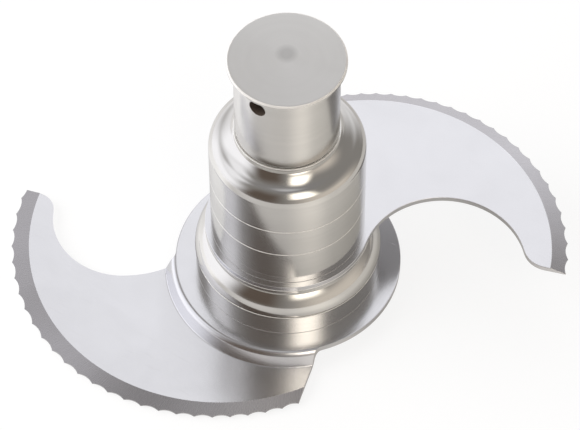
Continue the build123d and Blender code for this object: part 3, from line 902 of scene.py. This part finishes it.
class CUTTER_OT_spacer_rings(bpy.types.Operator):
    """Turn the two plain rings of the stack"""

    bl_idname = "cutter.spacer_rings"
    bl_label = "Spacer Rings"

    def execute(self, context):
        stack = context.scene.cutter_stack
        bore = stack.tube_radius + stack.fit
        steel = turned_steel("ring_steel", stack.colour, stack.roughness)
        for name, node in (("ring_low", "lower_spacer_ring"), ("ring_high", "upper_spacer_ring")):
            low, high, radius = node_size(node)
            corners = [
                (bore, low, 0.0),
                (radius, low, stack.edge_round),
                (radius, high, stack.edge_round),
                (bore, high, 0.0),
            ]
            weight_normals(turn_piece(name, corners, node, [steel]))
        return {"FINISHED"}


class CUTTER_OT_shoulder_collar(bpy.types.Operator):
    """Turn the collar that closes the stack under the knob"""

    bl_idname = "cutter.shoulder_collar"
    bl_label = "Shoulder Collar"

    def execute(self, context):
        stack = context.scene.cutter_stack
        shoulder = context.scene.cutter_shoulder
        node = "shoulder_collar"
        low, high, radius = node_size(node)
        bore = stack.tube_radius + stack.fit
        tube_top = low + shoulder.tube_rise
        start, change, turn, end = SHOULDER_SLOPES
        rounds, slopes, coves = SHOULDER_STEPS
        round_part = arc_from((radius, low + shoulder.wall), shoulder.round, start, change, rounds)
        slope_part = arc_from(round_part[-1], shoulder.slope, change, turn, slopes)
        cove_part = arc_from(slope_part[-1], shoulder.cove_radius, turn, end, coves, hollow=True)
        small = stack.edge_round
        corners = [
            (bore, low, 0.0),
            (radius, low, small),
            *round_part[:-1],
            *slope_part[:-1],
            *cove_part,
            (shoulder.neck_radius, cove_part[-1][1] + small, 0.0),
            (shoulder.neck_radius, high, small),
            (shoulder.neck_bore, high, 0.0),
            (shoulder.neck_bore, tube_top, 0.0),
            (bore, tube_top, 0.0),
        ]
        wall = turned_steel("shoulder_wall_steel", stack.colour, stack.roughness)
        polish = polished_steel("shoulder_polish", stack, 2.0)
        piece = turn_piece("shoulder", corners, node, [wall, polish])
        polish_above(piece, round_part[POLISH_CORNER][1])
        weight_normals(piece)
        return {"FINISHED"}


class CUTTER_OT_lock_knob(bpy.types.Operator):
    """Turn the lock knob and drill its cross hole"""

    bl_idname = "cutter.lock_knob"
    bl_label = "Lock Knob"

    def execute(self, context):
        stack = context.scene.cutter_stack
        knob = context.scene.cutter_knob
        node = "lock_knob"
        low, top, cap_radius = node_size(node)
        rim_low = top - knob.cap_thickness
        rim_high = top - knob.cap_dome
        grip = knob.grip_radius
        roof = low + knob.bore_depth
        groove_top = low + knob.seal_depth
        small = stack.edge_round
        seal_in = knob.seal_radius - knob.seal_width / 2
        seal_out = knob.seal_radius + knob.seal_width / 2
        hole_level = top - knob.hole_drop
        corners = [
            (0.0, roof, 0.0),
            (knob.bore_radius, roof, 0.0),
            (knob.bore_radius, low, small),
            (seal_in, low, 0.0),
            (seal_in, groove_top, 0.0),
            (seal_out, groove_top, 0.0),
            (seal_out, low, 0.0),
            (grip, low, knob.foot_round),
            *[(grip, hole_level + knob.hole_radius * share, 0.0) for share in BAND_SHARES],
            *arc_from(
                (grip, rim_low - knob.cap_fillet), knob.cap_fillet, 0, -90, FILLET_STEPS, hollow=True
            ),
            (cap_radius, rim_low, small),
            (cap_radius, rim_high, knob.cap_round),
            *[(cap_radius * share, top - knob.cap_dome * share**2, 0.0) for share in DOME_SHARES],
            (0.0, top, 0.0),
        ]
        wall = turned_steel("knob_steel", stack.colour, knob.grip_roughness, drawn=0.8)
        # The cap's colour is the steel darkened by a painted shade
        cap = cap_steel(
            "cap_steel", scaled_colour(stack.colour, knob.cap_painted_shade), knob.cap_roughness,
            (0.0, knob.reflection_spot_offset, top), knob.reflection_spot_radius,
        )
        # Dark wall of the cross hole: painted shade
        hole = burr_steel("hole_painted_shade", knob.hole_shade_colour, HOLE_METAL)
        piece = turn_piece("knob", corners, node, [wall, cap, hole])
        for face in piece.data.polygons:
            if face.normal.z > CAP_TILT and face.center.z > top - knob.cap_round:
                face.material_index = CAP_SLOT
        self.drill(piece, knob, hole_level)
        for face in piece.data.polygons:
            inside = face.center.xy.length < grip * INSIDE_SHARE
            if inside and abs(face.center.z - hole_level) < knob.hole_radius:
                face.material_index = HOLE_SLOT
        weight_normals(piece)
        return {"FINISHED"}

    def drill(self, piece, knob, level):
        """Cut the cross hole with a round bar."""
        mesh = bpy.data.meshes.new("bar")
        shape = bmesh.new()
        bmesh.ops.create_cone(
            shape, cap_ends=True, segments=HOLE_STEPS, radius1=knob.hole_radius, radius2=knob.hole_radius,
            depth=knob.grip_radius * BAR_SHARE,
        )
        lay = Matrix.Rotation(knob.hole_bearing, 4, "Z") @ Matrix.Rotation(math.pi / 2, 4, "Y")
        bmesh.ops.transform(shape, matrix=Matrix.Translation((0, 0, level)) @ lay, verts=shape.verts)
        write_back(shape, mesh)
        bar = new_object("bar", mesh)
        cut = piece.modifiers.new("Cross hole", "BOOLEAN")
        cut.object = bar
        cut.operation = "DIFFERENCE"
        cut.solver = "EXACT"
        drilled = baked_mesh(piece)
        piece.modifiers.remove(cut)
        piece.data = drilled
        bpy.data.objects.remove(bar)
        self.break_rim(drilled, knob, level)
        smooth_but_edges(drilled)

    def break_rim(self, mesh, knob, level):
        """Chamfer the mouths of the cross hole."""
        shape = shape_of(mesh)
        edge_layer = shape.verts.layers.float["edge"]
        rim = []
        for edge in shape.edges:
            near = all(
                abs(vert.co.xy.length - knob.grip_radius) < RIM_REACH
                and abs(vert.co.z - level) < knob.hole_radius + RIM_REACH
                for vert in edge.verts
            )
            if near and len(edge.link_faces) == 2 and edge.calc_face_angle() > CORNER_ANGLE:
                rim.append(edge)
        made = bmesh.ops.bevel(
            shape, geom=rim, offset=knob.rim_chamfer, offset_type="OFFSET", segments=BREAK_STEPS,
            profile=0.5, affect="EDGES", clamp_overlap=True,
        )
        chamfer = set(made["faces"])
        for vert in made["verts"]:
            vert[edge_layer] = 1.0 if chamfer.issuperset(vert.link_faces) else 0.0
        write_back(shape, mesh)


class CUTTER_OT_hub_core(bpy.types.Operator):
    """Give the hub, stud, drive sleeve, pins, keys and seals their finishes"""

    bl_idname = "cutter.hub_core"
    bl_label = "Hub Core"

    def execute(self, context):
        stack = context.scene.cutter_stack
        hard_colour = scaled_colour(stack.colour, stack.hard_shade)
        satin = turned_steel("hub_steel", stack.colour, stack.core_roughness, pitch=1500.0)
        hard = turned_steel("hard_steel", hard_colour, stack.hard_roughness, pitch=2000.0)
        for material, nodes in (
            (satin, ("blade_carrier", "clamp_stud")),
            (hard, ("drive_sleeve", "front_sleeve_pin", "rear_sleeve_pin", "left_key", "right_key")),
            (seal_rubber("seal_black"), ("flange_seal", "knob_seal")),
        ):
            for node in nodes:
                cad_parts[node].material_slots[0].material = material
        return {"FINISHED"}


# Stage

# Whites of the room and the floor, and how far the floor glows to the camera and to the metal
WHITE = (1.0, 1.0, 1.0)
FLOOR_WHITE = (1.06, 1.06, 1.06)
CAMERA_GLOW = 0.78
MIRRORED_GLOW = 0.6

# Radii in metres that the object's shade on the floor fades between, and its depth
SHADE_REACH = (0.07, 0.12)
SHADE_TONE = 0.55

# Tone of the bare room, and the share of a patch inside its soft edge
ROOM_WALL = (0.30, 0.285, 0.27)
PATCH_CORE = 0.3

# Patches of the room: name, bearing from the front, elevation, half width, half height, tone
ROOM_PATCHES = (
    ("ceiling", 0, 90, 200, 34, (0.30, 0.29, 0.29)),
    ("skylight", 0, 90, 200, 13, (0.75, 0.75, 0.76)),
    ("far wall", 180, -2, 62, 30, (1.05, 1.04, 1.06)),
    ("left wall", -102, 12, 62, 46, (1.36, 1.36, 1.42)),
    ("left lamp", -98, 50, 28, 20, (1.20, 1.20, 1.25)),
    ("right wall", 52, 4, 58, 48, (0.78, 0.71, 0.63)),
    ("doorway", -34, 30, 36, 48, (0.14, 0.11, 0.09)),
    ("front strip", 23, 51, 26, 25, (2.7, 2.5, 2.2)),
    ("far softbox", 172, 42, 46, 38, (1.15, 1.15, 1.18)),
)

# Painted light and shade of the floor as the metal sees it, at shares of the way round from behind
FLOOR_PAINTED_LIGHT = (
    (0.00, (0.60, 0.59, 0.58)),
    (0.12, (1.10, 1.09, 1.10)),
    (0.20, (1.45, 1.45, 1.47)),
    (0.265, (1.58, 1.58, 1.60)),
    (0.315, (0.66, 0.64, 0.63)),
    (0.48, (0.66, 0.63, 0.60)),
    (0.58, (1.22, 1.15, 1.05)),
    (0.66, (0.80, 0.76, 0.70)),
    (0.76, (0.72, 0.69, 0.64)),
    (0.86, (0.60, 0.58, 0.56)),
    (1.00, (0.56, 0.55, 0.54)),
)


def room_patch(tree, direction, height, patch):
    """Mask and tone of a soft-edged patch of the room."""
    label, bearing, elevation, half_width, half_height, tone = patch
    across = bearing_of(tree, turned_round(tree, direction, -math.radians(bearing)))
    above = calc(tree, "SUBTRACT", height, math.radians(elevation))
    masks = []
    for offset, half in ((across, half_width), (above, half_height)):
        away = calc(tree, "ABSOLUTE", offset)
        edge = math.radians(half)
        masks.append(socket(
            tree, "ShaderNodeMapRange", {"interpolation_type": "SMOOTHSTEP"},
            {"Value": away, "From Min": edge, "From Max": edge * PATCH_CORE, "To Max": 1.0},
        ))
    mask = calc(tree, "MULTIPLY", *masks)
    mask.node.label = label
    return mask, tone


def light_room(scene):
    """Room of soft light and dark patches; the camera sees plain white in its place."""
    scene.world = bpy.data.worlds.new("Studio")
    tree = empty_tree(scene.world)
    direction = add_node(tree, "ShaderNodeTexCoord").outputs["Generated"]
    split = add_node(tree, "ShaderNodeSeparateXYZ", None, {0: direction})
    height = calc(tree, "ARCSINE", split.outputs["Z"])
    room = ROOM_WALL
    for patch in ROOM_PATCHES:
        mask, tone = room_patch(tree, direction, height, patch)
        room = tint(tree, mask, room, tone)
    path = add_node(tree, "ShaderNodeLightPath").outputs
    seen = tint(tree, path["Is Camera Ray"], room, WHITE)
    background = socket(tree, "ShaderNodeBackground", None, {"Color": seen})
    add_node(tree, "ShaderNodeOutputWorld", None, {"Surface": background})


def fill_ramp(node, stops):
    """Give a colour ramp its stops."""
    ramp = node.color_ramp
    ramp.interpolation = "EASE"
    ramp.elements.remove(ramp.elements[-1])
    ramp.elements[0].color = opaque(stops[0][1])
    for position, tone in stops[1:]:
        ramp.elements.new(position).color = opaque(tone)


def lay_floor(settings):
    """Pale floor: white to the camera, painted with light and shade all round for the metal to mirror,
    with the object's soft shadow.
    """
    mesh = bpy.data.meshes.new("floor")
    shape = bmesh.new()
    bmesh.ops.create_grid(shape, x_segments=1, y_segments=1, size=settings.floor_size / 2)
    write_back(shape, mesh)
    floor = new_object("floor", mesh)
    material = bpy.data.materials.new("floor_paper")
    tree = empty_tree(material)
    position = object_position(tree)
    turn = span(tree, bearing_of(tree, position), 0.0, 1.0, (-math.pi, math.pi))
    # Painted light on the floor, seen only in the metal
    painted_floor_light = add_node(tree, "ShaderNodeValToRGB", None, {0: turn})
    fill_ramp(painted_floor_light, FLOOR_PAINTED_LIGHT)
    away = vector_calc(tree, "LENGTH", {0: position}, "Value")
    shade = span(tree, away, SHADE_TONE, 1.0, SHADE_REACH)
    tone = vector_calc(tree, "SCALE", {0: painted_floor_light.outputs[0], "Scale": shade})
    path = add_node(tree, "ShaderNodeLightPath").outputs
    seen = tint(tree, path["Is Camera Ray"], tone, FLOOR_WHITE)
    matt = socket(tree, "ShaderNodeBsdfDiffuse", None, {"Color": opaque(settings.floor_colour)})
    glow = socket(tree, "ShaderNodeEmission", None, {"Color": seen})
    mirrored = calc(tree, "MULTIPLY", path["Is Glossy Ray"], MIRRORED_GLOW)
    share = calc(tree, "MULTIPLY_ADD", path["Is Camera Ray"], CAMERA_GLOW, mirrored)
    both = socket(tree, "ShaderNodeMixShader", None, {0: share, 1: matt, 2: glow})
    add_node(tree, "ShaderNodeOutputMaterial", None, {"Surface": both})
    mesh.materials.append(material)


def hang_lamp(settings):
    """Soft window lamp that faces the object and shows in no highlight."""
    lamp = bpy.data.lights.new("window", "AREA")
    lamp.shape = "RECTANGLE"
    lamp.size = settings.lamp_width
    lamp.size_y = settings.lamp_height
    lamp.energy = settings.lamp_power
    holder = new_object("window", lamp)
    holder.location = settings.lamp_place
    facing = Vector(settings.lamp_aim) - Vector(settings.lamp_place)
    holder.rotation_euler = facing.to_track_quat("-Z", "Y").to_euler()
    holder.visible_glossy = False


def set_camera(scene, settings):
    """Camera that looks down on the object from the front."""
    tilt = Matrix.Rotation(math.pi / 2 - settings.camera_elevation, 4, "X")
    roll = Matrix.Rotation(-settings.camera_roll, 4, "Z")
    camera = bpy.data.cameras.new("Camera")
    camera.lens = settings.focal_length
    camera.sensor_width = 36.0
    camera.clip_end = 50.0
    scene.camera = new_object("Camera", camera)
    scene.camera.matrix_world = Matrix.Translation(settings.camera_place) @ tilt @ roll


class CUTTER_OT_stage(bpy.types.Operator):
    """Lay the floor, light the room and set the camera"""

    bl_idname = "cutter.stage"
    bl_label = "Stage"

    def execute(self, context):
        settings = context.scene.cutter_stage
        context.scene.view_settings.view_transform = "Standard"
        lay_floor(settings)
        light_room(context.scene)
        hang_lamp(settings)
        set_camera(context.scene, settings)
        return {"FINISHED"}


class CUTTER_PT_sidebar(bpy.types.Panel):
    """Steps that dress the cutter, in order"""

    bl_idname = "CUTTER_PT_sidebar"
    bl_label = "Cutter"
    bl_space_type = "VIEW_3D"
    bl_region_type = "UI"
    bl_category = "Cutter"

    def draw(self, context):
        for step in STEPS:
            self.layout.operator(step.bl_idname, text=step.bl_label)
        for holder in SETTINGS:
            box = self.layout.box()
            settings = getattr(context.scene, holder)
            for key in SETTINGS[holder].__annotations__:
                box.prop(settings, key)


STEPS = (
    CUTTER_OT_stage,
    CUTTER_OT_lower_blade,
    CUTTER_OT_upper_blade,
    CUTTER_OT_lower_collar,
    CUTTER_OT_spacer_rings,
    CUTTER_OT_shoulder_collar,
    CUTTER_OT_lock_knob,
    CUTTER_OT_hub_core,
)
SETTINGS = {
    "cutter_blades": CutterBladeSettings,
    "cutter_stack": CutterStackSettings,
    "cutter_collar": CutterCollarSettings,
    "cutter_shoulder": CutterShoulderSettings,
    "cutter_knob": CutterKnobSettings,
    "cutter_stage": CutterStageSettings,
}
CLASSES = (*SETTINGS.values(), *STEPS, CUTTER_PT_sidebar)


def register():
    """Register the settings, the steps and the panel."""
    for kind in CLASSES:
        bpy.utils.register_class(kind)
    for holder, group in SETTINGS.items():
        setattr(bpy.types.Scene, holder, bpy.props.PointerProperty(type=group))


def unregister():
    """Take the panel, the steps and the settings out again."""
    for holder in SETTINGS:
        delattr(bpy.types.Scene, holder)
    for kind in reversed(CLASSES):
        bpy.utils.unregister_class(kind)


def main():
    """Run every step in order."""
    register()
    for step in STEPS:
        area, name = step.bl_idname.split(".")
        getattr(getattr(bpy.ops, area), name)()


if __name__ == "__main__":
    main()
